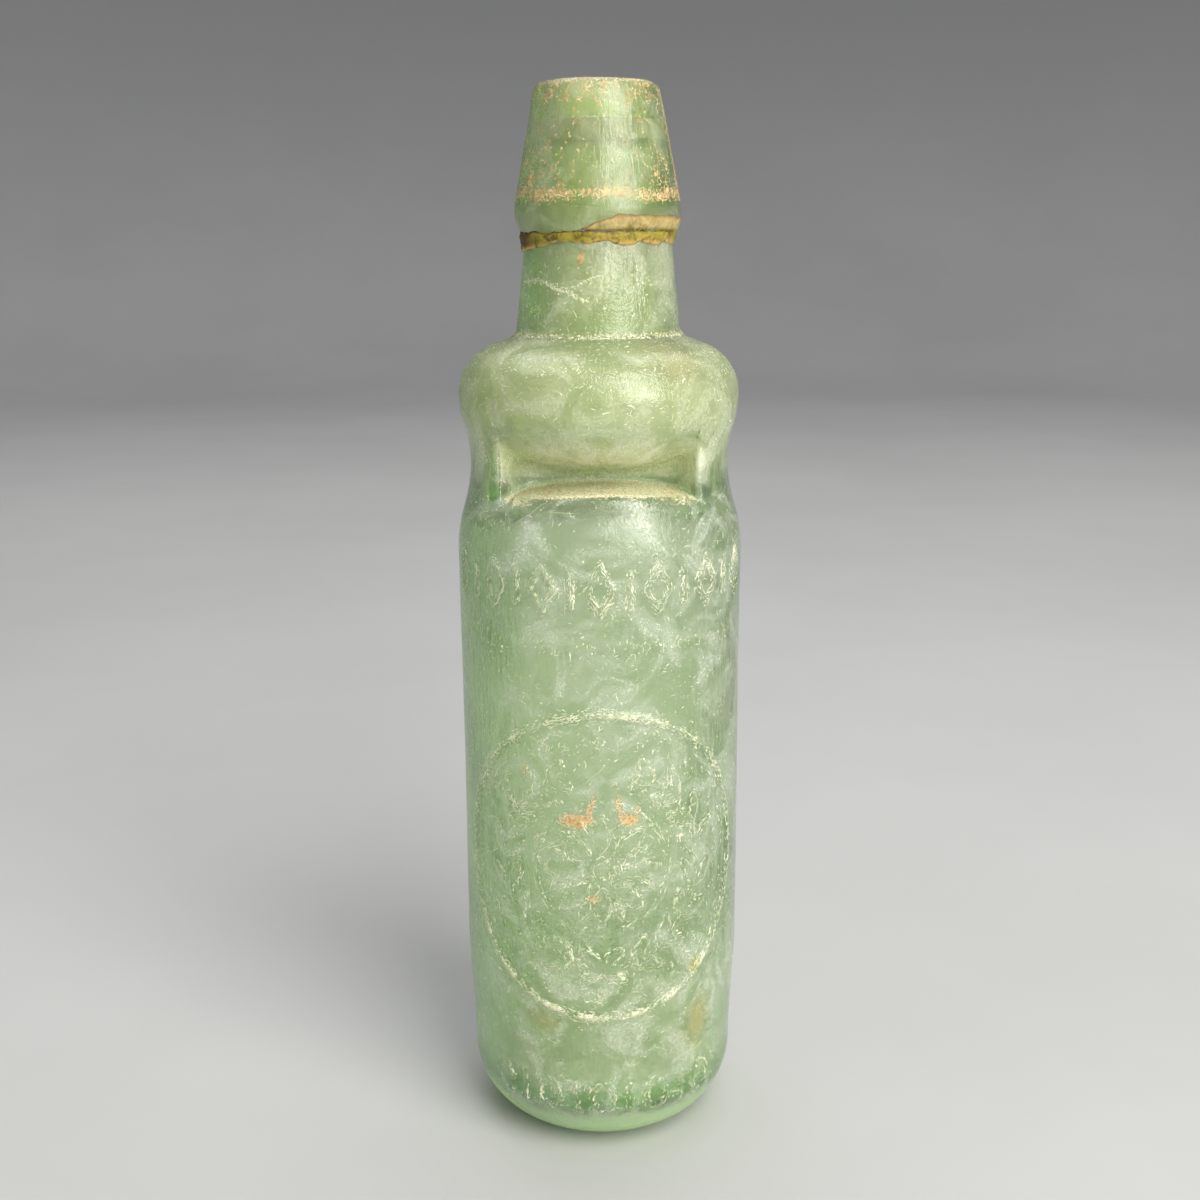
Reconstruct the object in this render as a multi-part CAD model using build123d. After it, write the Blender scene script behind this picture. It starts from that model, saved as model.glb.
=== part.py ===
"""A marble stopper bottle: a blown glass body with a throat pinched from front and back, an
applied conical lip with a rubber ring inside it, and the glass marble that seals against the ring.

Millimetres. +Z is up along the bottle's axis, -Y is the front, and the origin is the centre of
the ring that the bottle stands on."""

import os
from math import acos, atan2, cos, hypot, pi, radians, sin, sqrt, tan

from build123d import *

# Heights of the glass body, stacked from the foot up
side_height = 133.0
waist_rise = 19.8
chamber_rise = 14.0
shoulder_rise = 12.2
neck_length = 20.8

# Outside radii of the glass body
foot_radius = 30.0
body_radius = 31.0
waist_radius = 27.9
chamber_radius = 30.15
neck_foot_radius = 17.7
neck_top_radius = 15.4

# Foot: a resting ring round a shallow push-up, and a rounded heel
heel_round = 16.0
side_taper_length = 29.0
push_up_radius = 9.0
push_up_depth = 2.5

# Glass thickness and the bore of the neck
wall = 3.8
base_glass = 7.5
heel_round_inside = 12.0
neck_bore_radius = 9.0

# Rounding between the chamber, the shoulder and the neck
shoulder_round = 11.0
neck_fillet = 3.0
bore_mouth_round = 5.0

# The pinch: a flat-floored dent in the front and one in the back, under a bowl
throat_half_gap = 5.2
dent_back_width = 32.4
dent_flare = radians(21.5)
dent_corner = 3.0
ledge_below_waist = 3.7
ledge_crown_radius = 80.0
ledge_slope = radians(0.6)
bowl_overlap = 0.45
bowl_depth = 16.8
dent_edge_round = 2.2

# The plain ring raised on the front of the body, drawn through this many points
emblem_height = 69.5
emblem_radius = 35.0
emblem_line = 1.6
emblem_relief = 0.5
emblem_points = 24

# The applied lip, its bore and the groove for the rubber ring
lip_length = 30.2
lip_radius = 17.45
lip_foot_radius = 15.9
lip_belly_height = 6.0
lip_rim_radius = 13.0
rim_round = 2.0
mouth_radius = 7.3
mouth_length = 7.9
mouth_edge_round = 0.8
groove_radius = 10.4
groove_height = 4.2
socket_depth = 5.1
socket_radius = 12.6

# The band of old cement or waste glass under the lip
collar_height = 2.9
collar_proud = 0.7

# The rubber ring and the marble
ring_clearance = 0.1
ring_inner_radius = 6.6
ring_corner_round = 0.8
marble_radius = 8.0
marble_clearance = 0.2
socket_clearance = 0.05

# How far a cutting solid runs past what it cuts, and how near two edges are the same
overrun = 5.0
touching = 0.001

# Heights and places that follow from the sizes above
waist_height = side_height + waist_rise
chamber_height = waist_height + chamber_rise
neck_foot_height = chamber_height + shoulder_rise
seam_height = neck_foot_height + neck_length
top_height = seam_height + lip_length
spigot_height = seam_height + socket_depth - socket_clearance
spigot_radius = socket_radius - socket_clearance
groove_top = top_height - mouth_length
groove_floor = groove_top - groove_height
ledge_height = waist_height - ledge_below_waist
bowl_radius = chamber_radius + bowl_overlap
dent_back = throat_half_gap + wall

# The shoulder is an arc round this point and the tangent from it to the foot of the neck
shoulder_radius = chamber_radius - shoulder_round
to_neck_out = neck_foot_radius - shoulder_radius
to_neck_up = neck_foot_height - chamber_height
shoulder_turn = atan2(to_neck_up, to_neck_out) - acos(shoulder_round / hypot(to_neck_out, to_neck_up))


def bend(start, end):
    """Two equal arcs from start to end, both upright at their ends."""
    middle = ((start[0] + end[0]) / 2, (start[1] + end[1]) / 2)
    first = TangentArc(start, middle, tangent=(0, 1))
    return [first, TangentArc(middle, end, tangent=first % 1)]


def shoulder(inset):
    """The shoulder's arc, moved inward by inset, and the point and slope at its upper end."""
    round_ = shoulder_round - inset
    end = (
        shoulder_radius + round_ * cos(shoulder_turn),
        chamber_height + round_ * sin(shoulder_turn),
    )
    start = (chamber_radius - inset, chamber_height)
    return TangentArc(start, end, tangent=(0, 1)), end


def turned(edges):
    """A closed outline of radius and height, turned round the bottle's axis."""
    return revolve(Plane.XZ * make_face(edges), Axis.Z)


def neck_radius(height):
    """Outside radius of the neck, which narrows evenly up to the seam."""
    share = (height - neck_foot_height) / neck_length
    return neck_foot_radius + share * (neck_top_radius - neck_foot_radius)


def outer_form():
    """The body as if it were solid, without its dents."""
    heel_start = (foot_radius - heel_round, 0)
    heel_end = (foot_radius, heel_round)
    side_start = (body_radius, heel_round + side_taper_length)
    side_end = (body_radius, side_height)
    waist = (waist_radius, waist_height)
    shoulder_arc, shoulder_end = shoulder(0)
    neck = FilletPolyline(
        shoulder_end,
        (neck_foot_radius, neck_foot_height),
        (neck_top_radius, seam_height),
        radius=neck_fillet,
    )
    spigot = Polyline(
        (neck_top_radius, seam_height),
        (spigot_radius, seam_height),
        (spigot_radius, spigot_height),
        (0, spigot_height),
        (0, push_up_depth),
    )
    return turned(
        [
            TangentArc((0, push_up_depth), (push_up_radius, 0), tangent=(1, 0)),
            Line((push_up_radius, 0), heel_start),
            TangentArc(heel_start, heel_end, tangent=(1, 0)),
            *bend(heel_end, side_start),
            Line(side_start, side_end),
            *bend(side_end, waist),
            *bend(waist, (chamber_radius, chamber_height)),
            shoulder_arc,
            *neck.edges(),
            *spigot.edges(),
        ]
    )


def inner_form():
    """The hollow of the body, without the two ridges that the dents push into it."""
    floor_end = (foot_radius - wall - heel_round_inside, base_glass)
    corner_end = (foot_radius - wall, base_glass + heel_round_inside)
    side_start = (body_radius - wall, heel_round + side_taper_length)
    side_end = (body_radius - wall, side_height)
    waist = (waist_radius - wall, waist_height)
    shoulder_arc, shoulder_end = shoulder(wall)
    along = (shoulder_end[0] - neck_bore_radius) / sin(shoulder_turn)
    bore_foot = (neck_bore_radius, shoulder_end[1] + along * cos(shoulder_turn))
    bore_top = (neck_bore_radius, spigot_height + overrun)
    bore = FilletPolyline(shoulder_end, bore_foot, bore_top, radius=bore_mouth_round)
    return turned(
        [
            Line((0, base_glass), floor_end),
            TangentArc(floor_end, corner_end, tangent=(1, 0)),
            *bend(corner_end, side_start),
            Line(side_start, side_end),
            *bend(side_end, waist),
            *bend(waist, (chamber_radius - wall, chamber_height)),
            shoulder_arc,
            *bore.edges(),
            Line(bore_top, (0, spigot_height + overrun)),
            Line((0, spigot_height + overrun), (0, base_glass)),
        ]
    )


def dent(inset):
    """The space of the front dent, or with an inset of the wall, the ridge that it makes inside."""
    near = dent_back - inset
    far = body_radius + overrun
    half_near = dent_back_width / 2 + inset / cos(dent_flare) - inset * tan(dent_flare)
    half_far = half_near + (far - near) * tan(dent_flare)
    plan = make_face(
        Polyline((-half_far, -far), (-half_near, -near), (half_near, -near), (half_far, -far), close=True)
    )
    back_corners = plan.vertices().group_by(Axis.Y)[-1]
    plan = fillet(back_corners, radius=dent_corner + inset)

    ledge = ledge_height - inset
    crown_drop = ledge_crown_radius - sqrt(ledge_crown_radius**2 - half_far**2)
    edge = ledge - crown_drop
    view = make_face(
        [
            ThreePointArc((-half_far, edge), (0, ledge), (half_far, edge)),
            Polyline(
                (half_far, edge),
                (half_far, chamber_height + overrun),
                (-half_far, chamber_height + overrun),
                (-half_far, edge),
            ),
        ]
    )
    start = Plane(origin=(0, -near, 0), x_dir=(1, 0, 0), z_dir=(0, -1, 0))
    above_ledge = extrude(start * view, far - near, dir=(0, -1, -tan(ledge_slope)))
    low = edge - far * tan(ledge_slope)
    column = Pos(0, 0, low) * extrude(plan, chamber_height - low, dir=(0, 0, 1))
    return column & above_ledge


def rims(glass, outside):
    """The edges where the dents' ledges and side walls come out through the body's outside."""
    found = []
    for edge in glass.edges().filter_by(GeomType.BSPLINE):
        middle = edge @ 0.5
        if min(face.distance_to(middle) for face in outside.faces()) < touching:
            found.append(edge)
    return found


def bowl(inset):
    """The round-bottomed lower half of the marble chamber: half an ellipse turned about the axis."""
    reach = bowl_radius - inset
    depth = bowl_depth - inset
    top = chamber_height + overrun
    return turned(
        [
            EllipticalCenterArc((0, chamber_height), reach, depth, start_angle=270, arc_size=90),
            Polyline((reach, chamber_height), (reach, top), (0, top), (0, chamber_height - depth)),
        ]
    )


def both(front):
    """A form of the front together with the same form at the back."""
    return front + front.rotate(Axis.Z, 180)


def laid_round(radius):
    """What the front view shows of a circle that is laid round the body: a chain of arcs."""
    points = []
    for step in range(emblem_points + 1):
        turn = 2 * pi * step / emblem_points
        across = radius * cos(turn)
        points.append((body_radius * sin(across / body_radius), radius * sin(turn)))
    arcs = [ThreePointArc(points[k], points[k + 1], points[k + 2]) for k in range(0, emblem_points, 2)]
    return make_face(arcs)


def emblem():
    """A plain ring raised on the front of the body."""
    line = laid_round(emblem_radius) - laid_round(emblem_radius - emblem_line)
    through = extrude(Plane.XZ * Pos(0, emblem_height) * line, body_radius + overrun)
    skin = Cylinder(body_radius + emblem_relief, top_height) - Cylinder(body_radius - wall / 2, top_height)
    return through & Pos(0, 0, top_height / 2) * skin


def bottle_body():
    """The blown glass: outside and hollow are each dented, then given back the bowl."""
    outside = outer_form()
    glass = outside - both(dent(0))
    glass = fillet(rims(glass, outside), radius=dent_edge_round)
    glass += bowl(0) & outside
    inside = inner_form()
    hollow = inside - both(dent(wall)) + (bowl(wall) & inside)
    return glass - hollow + emblem()


def lip():
    """The applied lip, turned in one piece, with a socket for the neck's spigot below."""
    belly = (lip_radius, seam_height + lip_belly_height)
    rim = (lip_rim_radius, top_height)
    foot = (lip_foot_radius, seam_height)
    down_the_cone = (belly[0] - rim[0], belly[1] - rim[1])
    belly_arc = TangentArc(belly, foot, tangent=down_the_cone)
    cone_and_mouth = FilletPolyline(
        belly,
        rim,
        (mouth_radius, top_height),
        (mouth_radius, groove_top),
        radius=[rim_round, mouth_edge_round],
    )
    bore = Polyline(
        (mouth_radius, groove_top),
        (groove_radius, groove_top),
        (groove_radius, groove_floor),
        (neck_bore_radius, groove_floor),
        (neck_bore_radius, seam_height + socket_depth),
        (socket_radius, seam_height + socket_depth),
        (socket_radius, seam_height),
        foot,
    )
    return turned([belly_arc, *cone_and_mouth.edges(), *bore.edges()])


def weld_collar():
    """The band under the lip, which fills the corner between the neck and the lip."""
    foot_height = seam_height - collar_height
    foot = (neck_radius(foot_height), foot_height)
    rim = (neck_top_radius + collar_proud, seam_height)
    outside = TangentArc(rim, foot, tangent=(0, -1))
    inside = Polyline(foot, (neck_top_radius, seam_height), rim)
    return turned([outside, *inside.edges()])


def rubber_ring():
    """The ring in the lip's groove: rounded towards the bore, square in the groove."""
    outer = groove_radius - ring_clearance
    top = groove_top - ring_clearance
    section = make_face(
        Polyline(
            (ring_inner_radius, groove_floor),
            (outer, groove_floor),
            (outer, top),
            (ring_inner_radius, top),
            close=True,
        )
    )
    bore_corners = section.vertices().group_by(Axis.X)[0]
    section = fillet(bore_corners, radius=ring_corner_round)
    return revolve(Plane.XZ * section, Axis.Z)


def marble_at_rest():
    """Height of the marble's centre when it lies on the two edges over the throat."""
    reach = bowl_radius - wall
    edge_drop = (bowl_depth - wall) * sqrt(1 - (throat_half_gap / reach) ** 2)
    over_edge = sqrt(marble_radius**2 - throat_half_gap**2)
    return chamber_height - edge_drop + over_edge + marble_clearance


def marble_sealed():
    """Height of the marble's centre when it meets the rounded corner of the rubber ring."""
    corner_radius = ring_inner_radius + ring_corner_round
    under_corner = sqrt((marble_radius + ring_corner_round) ** 2 - corner_radius**2)
    return groove_floor + ring_corner_round - under_corner - marble_clearance


def marble():
    """The glass ball, lying over the throat."""
    return Pos(0, 0, marble_at_rest()) * Sphere(marble_radius)


parts = {
    "bottle_body": bottle_body(),
    "lip": lip(),
    "weld_collar": weld_collar(),
    "rubber_ring": rubber_ring(),
    "marble": marble(),
}

os.makedirs("parts", exist_ok=True)
for name, shape in parts.items():
    export_step(shape, f"parts/{name}.step")
    print(name, len(shape.solids()), round(shape.volume, 1), shape.is_valid)
print("height", round(top_height, 3))
print("marble from", round(marble_at_rest(), 3), "to", round(marble_sealed(), 3))
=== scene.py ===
"""The looks of a marble stopper bottle: clouded, scratched aqua-green glass with dust in its hollows,
a crust under the applied lip, a rubber ring and a glass marble.

Shapes are worked out in millimetres and made in metres. -Y is the front."""

from math import acos, atan2, cos, hypot, pi, radians, sin, sqrt, tan

import bpy
import numpy as np
from mathutils import Matrix, Vector
from numpy import array, clip, concatenate, degrees, linspace, maximum, minimum, stack, where


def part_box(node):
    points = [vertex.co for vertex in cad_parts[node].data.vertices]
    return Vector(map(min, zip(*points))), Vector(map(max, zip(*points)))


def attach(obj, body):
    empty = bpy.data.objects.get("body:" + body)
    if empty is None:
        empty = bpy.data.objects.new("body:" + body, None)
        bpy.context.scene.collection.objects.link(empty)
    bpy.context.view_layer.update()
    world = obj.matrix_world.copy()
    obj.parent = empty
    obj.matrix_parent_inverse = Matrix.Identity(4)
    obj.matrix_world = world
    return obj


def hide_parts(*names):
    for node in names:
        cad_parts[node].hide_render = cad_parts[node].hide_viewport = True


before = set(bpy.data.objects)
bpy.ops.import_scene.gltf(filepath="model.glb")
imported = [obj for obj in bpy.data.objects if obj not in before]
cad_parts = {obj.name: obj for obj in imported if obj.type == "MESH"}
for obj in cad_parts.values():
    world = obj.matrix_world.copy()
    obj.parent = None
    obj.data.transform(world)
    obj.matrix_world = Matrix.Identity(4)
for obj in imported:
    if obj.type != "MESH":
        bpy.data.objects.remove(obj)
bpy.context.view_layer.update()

MM = 0.001

# Sizes of the CAD part, in millimetres
FOOT, BODY, WAIST, CHAMBER = 30.0, 31.0, 27.9, 30.15
NECK_FOOT, NECK_TOP = 17.7, 15.4
HEEL, TAPER_TOP, SIDE_TOP, WAIST_Z, CHAMBER_Z = 16.0, 45.0, 133.0, 152.8, 166.8
NECK_FOOT_Z, SEAM_Z, TOP_Z = 179.0, 199.8, 230.0
WALL, BASE, BORE = 3.8, 7.5, 9.0
HEEL_IN, SHOULDER_ROUND, NECK_FILLET, BORE_ROUND = 12.0, 11.0, 3.0, 5.0
PUSH_UP, PUSH_UP_DEPTH = 9.0, 2.5
SPIGOT, SPIGOT_Z = 12.55, 204.85
NEAR, HALF_NEAR, FLARE, CORNER = 9.0, 16.2, radians(21.5), 3.0
LEDGE_Z, CROWN, SLOPE = 149.1, 80.0, radians(0.6)
BOWL, BOWL_DEPTH = 30.6, 16.8
RING_Z, RING_OUT, RING_LINE = 69.5, 35.0, 1.6
LIP_BELLY, LIP_FOOT, LIP_SWELL, LIP_RIM, BELLY_UP = 17.45, 15.9, 1.55, 13.0, 6.0
MOUTH, GROOVE, GROOVE_LOW, GROOVE_TOP = 7.3, 10.4, 217.9, 222.1
SOCKET, SOCKET_TOP = 12.6, 204.9
RUBBER_OUT, RUBBER_IN, RUBBER_TOP = 10.3, 6.6, 222.0

# The grids: where the pinch's rings begin, outside and inside, and the column at the front.
# The columns of the front half are one degree apart, from -90 degrees.
PINCH_Z, PINCH_IN_Z, FRONT = 141.0, 137.0, 90
MEAN_RADIUS, NECK_DEGREE = 28, 0.29

# How many marks are drawn
CURLS_ANYWHERE, CURLS_ON_MARKS, LONG_SCRATCHES, CURLS_ON_RING = 8000, 8500, 40, 2600
LEDGE_CURLS, LEDGE_GRAINS, FOOT_GRAINS, LOOSE_GRAINS, LIP_GRAINS = (1500, 1300), 2600, 2600, 3600, 15000

# The camera, in metres and degrees, and the lens, in millimetres
CAMERA_AWAY, CAMERA_UP, CAMERA_PITCH, CAMERA_ROLL = 0.324, 0.1991, 13.6, -0.35
LENS, SENSOR, NEAREST_SEEN = 45.0, 36.0, 0.01
AIM_UP = 0.13
SWEEP_REACH, SWEEP_ROUND, SWEEP_COLS = 2600.0, 900.0, 96


def smooth(low, high, x):
    """0 at low, 1 at high, smooth between."""
    t = clip((x - low) / (high - low), 0.0, 1.0)
    return t * t * (3 - 2 * t)


def smooth_min(a, b, k):
    """The lesser of two numbers, blended where they are within k."""
    h = clip((k - abs(a - b)) / k, 0.0, None)
    return minimum(a, b) - h * h * k / 4


def smooth_max(a, b, k):
    return -smooth_min(-a, -b, k)


def hump(off, width):
    """1 where off is 0, falling away on both sides."""
    return np.exp(-((off / width) ** 2))


def full_turn(count):
    return linspace(0, 2 * pi, count + 1)[:-1]


def waves(seed, turn, height, length, count=8):
    """Waviness mostly between -1 and 1, the same after a full turn. length is a wave's, in mm."""
    rng = np.random.default_rng(seed)
    most = max(1, int(2 * pi * MEAN_RADIUS / length))
    total = 0
    for _ in range(count):
        around = rng.integers(0, most + 1)
        along = rng.uniform(0.3, 1.1) * 2 * pi / length * rng.choice([-1, 1])
        total = total + np.sin(around * turn + along * height + rng.uniform(0, 2 * pi))
    return total / sqrt(count) * 0.75


def bend(z, z0, r0, z1, r1):
    """Radius on a bend of two equal arcs that is upright at both ends."""
    across, up = (r1 - r0) / 2, (z1 - z0) / 2
    big = (across**2 + up**2) / (2 * abs(across))
    way = np.sign(across)
    low = r0 + way * (big - np.sqrt(maximum(big**2 - (z - z0) ** 2, 0)))
    high = r1 - way * (big - np.sqrt(maximum(big**2 - (z1 - z) ** 2, 0)))
    return where(z < (z0 + z1) / 2, low, high)


def side(z, inset=0.0):
    """Radius of the side, from the heel to the middle of the chamber, as if it had no dents."""
    start = BASE + HEEL_IN if inset else HEEL
    r = where(z < TAPER_TOP, bend(z, start, FOOT - inset, TAPER_TOP, BODY - inset), BODY - inset)
    r = where(z > SIDE_TOP, bend(z, SIDE_TOP, BODY - inset, WAIST_Z, WAIST - inset), r)
    return where(z > WAIST_Z, bend(z, WAIST_Z, WAIST - inset, CHAMBER_Z, CHAMBER - inset), r)


def arc(centre, radius, start, end, count):
    """Points of radius and height on an arc, its angles taken from the outward direction."""
    a = linspace(start, end, count)
    return stack([centre[0] + radius * np.cos(a), centre[1] + radius * np.sin(a)], 1)


def divided(points, step):
    """A polyline with its long runs divided."""
    points = np.asarray(points, float)
    out = [points[:1]]
    for a, b in zip(points, points[1:]):
        count = max(1, int(np.ceil(np.linalg.norm(b - a) / step - 1e-6)))
        out.append(a + (b - a) * (np.arange(1, count + 1) / count)[:, None])
    return concatenate(out)


def rounded(points, radii, step, arc_step=None):
    """A polyline with its inner corners rounded and its runs divided."""
    arc_step = arc_step or step
    points = [array(point, float) for point in points]
    out = [points[0]]
    for before, corner, after, radius in zip(points, points[1:], points[2:], radii):
        a = (before - corner) / np.linalg.norm(before - corner)
        b = (after - corner) / np.linalg.norm(after - corner)
        half = acos(float(a @ b)) / 2
        centre = corner + (a + b) / np.linalg.norm(a + b) * radius / sin(half)
        start = corner + a * radius / tan(half) - centre
        end = corner + b * radius / tan(half) - centre
        turn = atan2(start[0] * end[1] - start[1] * end[0], float(start @ end))
        for t in linspace(0, turn, max(3, int(abs(turn) * radius / arc_step) + 2)):
            across = cos(t) * start[0] - sin(t) * start[1]
            up = sin(t) * start[0] + cos(t) * start[1]
            out.append(centre + [across, up])
    out.append(points[-1])
    return divided(out, step)


def laid_round(r, turns, z):
    """Points at a radius, a turn from the front and a height."""
    return stack(np.broadcast_arrays(r * np.sin(turns), -r * np.cos(turns), z), -1)


def turned(profile, turns):
    """Rings of points, one for each of a profile's points of radius and height."""
    return laid_round(profile[:, :1], turns, profile[:, 1:])


def lengths(vectors):
    return np.linalg.norm(vectors, axis=-1, keepdims=True)


def steps_across(grid):
    """From each point's neighbour on one side to that on the other, round the ring."""
    return np.roll(grid, -1, axis=1) - np.roll(grid, 1, axis=1)


def grid_normals(rings):
    """Unit normals of a grid of closed rings, outward where the rings climb."""
    along = np.gradient(rings, axis=0)
    across = steps_across(rings)
    n = np.cross(across, along)
    return n / maximum(lengths(n), 1e-9)


def ring_faces(rings, first=0):
    """Faces between closed rings, the first of whose points has the number first."""
    rows, cols = rings.shape[:2]
    i = np.arange(rows - 1)[:, None] * cols
    j = np.arange(cols)[None, :]
    k = (j + 1) % cols
    return (first + stack([i + j, i + k, i + cols + k, i + cols + j], -1)).reshape(-1, 4).tolist()


def tube_faces(rings):
    """Faces between closed rings, the last of which joins the first."""
    rows, cols = rings.shape[:2]
    last = (rows - 1) * cols
    joint = [(last + j, last + (j + 1) % cols, (j + 1) % cols, j) for j in range(cols)]
    return ring_faces(rings) + joint


def add_piece(name, points, faces, body, material, values=None, sharp=None):
    """A mesh piece in metres that rides on a body, with named numbers on its points."""
    mesh = bpy.data.meshes.new(name)
    mesh.from_pydata((np.asarray(points).reshape(-1, 3) * MM).tolist(), [], faces)
    mesh.polygons.foreach_set("use_smooth", [True] * len(mesh.polygons))
    if sharp:
        mesh.set_sharp_from_angle(angle=sharp)
    for key, numbers in (values or {}).items():
        data = mesh.attributes.new(key, "FLOAT", "POINT").data
        data.foreach_set("value", np.asarray(numbers, np.float32).ravel())
    mesh.materials.append(material)
    piece = bpy.data.objects.new(name, mesh)
    bpy.context.scene.collection.objects.link(piece)
    if body:
        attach(piece, body)
    return piece


# The pinch: two dents cut into the side, under a bowl that is given back


def pocket_floor(x):
    """Height of the ledge at the back wall, over the width."""
    return LEDGE_Z - (CROWN - np.sqrt(CROWN**2 - x**2))


def pinch_sizes(inset):
    half_near = HALF_NEAR + inset / cos(FLARE) - inset * tan(FLARE)
    return NEAR - inset, half_near, BOWL - inset, BOWL_DEPTH - inset


def pinched(p, inset):
    """How deep a point lies in the pinched form, in mm, about; negative outside it."""
    x, y, z = abs(p[..., 0]), abs(p[..., 1]), p[..., 2]
    r = np.hypot(x, y)
    near, half_near, reach, depth = pinch_sizes(inset)
    whole = side(z, inset) - r
    wall = (half_near + (y - near) * tan(FLARE) - x) * cos(FLARE)
    over = (z - (pocket_floor(minimum(x, 40)) - inset) + (y - near) * tan(SLOPE)) * cos(SLOPE)
    pocket = smooth_min(smooth_min(y - near, wall, 1.1 * (CORNER + inset)), over, 1.3 + inset)
    up = minimum(z - CHAMBER_Z, 0)
    q = np.sqrt((r / reach) ** 2 + (up / depth) ** 2)
    slope = np.sqrt((r / reach**2) ** 2 + (up / depth**2) ** 2) / maximum(q, 1e-6)
    bowl = (1 - q) / maximum(slope, 1e-6)
    by_pocket = clip((-pocket - bowl) / 1.5 + 0.5, 0, 1)
    return smooth_min(whole, smooth_max(-pocket, bowl, 1.8 + inset * 0.6), 0.8 + 1.7 * by_pocket)


def settled(p, inset):
    """Points moved onto the pinched form's surface."""
    for _ in range(8):
        depth = pinched(p, inset)
        slope = stack(
            [(pinched(p + d, inset) - pinched(p - d, inset)) / 0.04 for d in np.eye(3) * 0.02], -1
        )
        move = -depth[..., None] * slope / maximum((slope**2).sum(-1, keepdims=True), 0.3)
        size = lengths(move)
        p = p + move * minimum(1, 0.8 / maximum(size, 1e-9))
    return p


def pinch_rings(turns, low, inset, counts):
    """Rings through the pinch, closer together along the ledge and under the bowl."""
    near, half_near, reach, depth = pinch_sizes(inset)
    across, away = np.sin(turns), abs(np.cos(turns))
    x = abs(side(array(LEDGE_Z - inset), inset) * across)
    u = side(array(LEDGE_Z - inset), inset) * away
    back = minimum(maximum(near, near + (x - half_near) / tan(FLARE)), u)
    crown = pocket_floor(minimum(x, 40)) - inset
    edge = crown - (u - near) * tan(SLOPE)
    inner = crown - (back - near) * tan(SLOPE)

    def under_bowl(y):
        return CHAMBER_Z - depth * np.sqrt(clip(1 - (x**2 + y**2) / reach**2, 0, 1))

    bowl_low = maximum(under_bowl(back), inner + 0.3)
    first, second, third, fourth, fifth = counts

    def between(a, b, count):
        return [a + (b - a) * k / count for k in range(1, count + 1)]

    levels = [np.full_like(x, low), *between(low, edge, first), *between(edge, inner, second)]
    levels += between(inner, bowl_low, third)
    bowl_high = CHAMBER_Z - 6.5
    for k in range(1, fourth + 1):
        share = k / fourth
        far = back + (maximum(u, back) - back) * share
        levels.append(clip(under_bowl(far), bowl_low, None) * (1 - share**2) + bowl_high * share**2)
    levels += [np.full_like(x, level) for level in between(bowl_high, CHAMBER_Z, fifth)]
    levels = np.maximum.accumulate(array(levels), axis=0)
    even = linspace(low, CHAMBER_Z, len(levels))[:, None]
    plain = smooth(17.5, 23.0, x)[None, :]
    z = levels * (1 - plain) + even * plain
    r = side(z, inset)
    x = r * across
    whole = r * away
    wall = near + (abs(x) - half_near) / tan(FLARE)
    ledge = near + (pocket_floor(clip(abs(x), 0, 40)) - inset - z) / tan(SLOPE)
    bowl = np.sqrt(maximum(reach**2 * (1 - ((CHAMBER_Z - z) / depth) ** 2) - x**2, 0))
    y = minimum(whole, np.maximum.reduce([np.full_like(z, near), wall, ledge, bowl]))
    y = y * where(np.cos(turns) >= 0, -1, 1)
    return settled(stack([x, y, z], -1), inset)


# The raised marks on the front: the plain ring, and generic ornament in place of words and picture


def leaf(u, v, length, width):
    """Distance-like number for a leaf along u, negative inside."""
    share = clip(1 - (u / length) ** 2, 0, None)
    return where(abs(u) < length, abs(v) - width * share, np.hypot(abs(u) - length, v))


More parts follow.
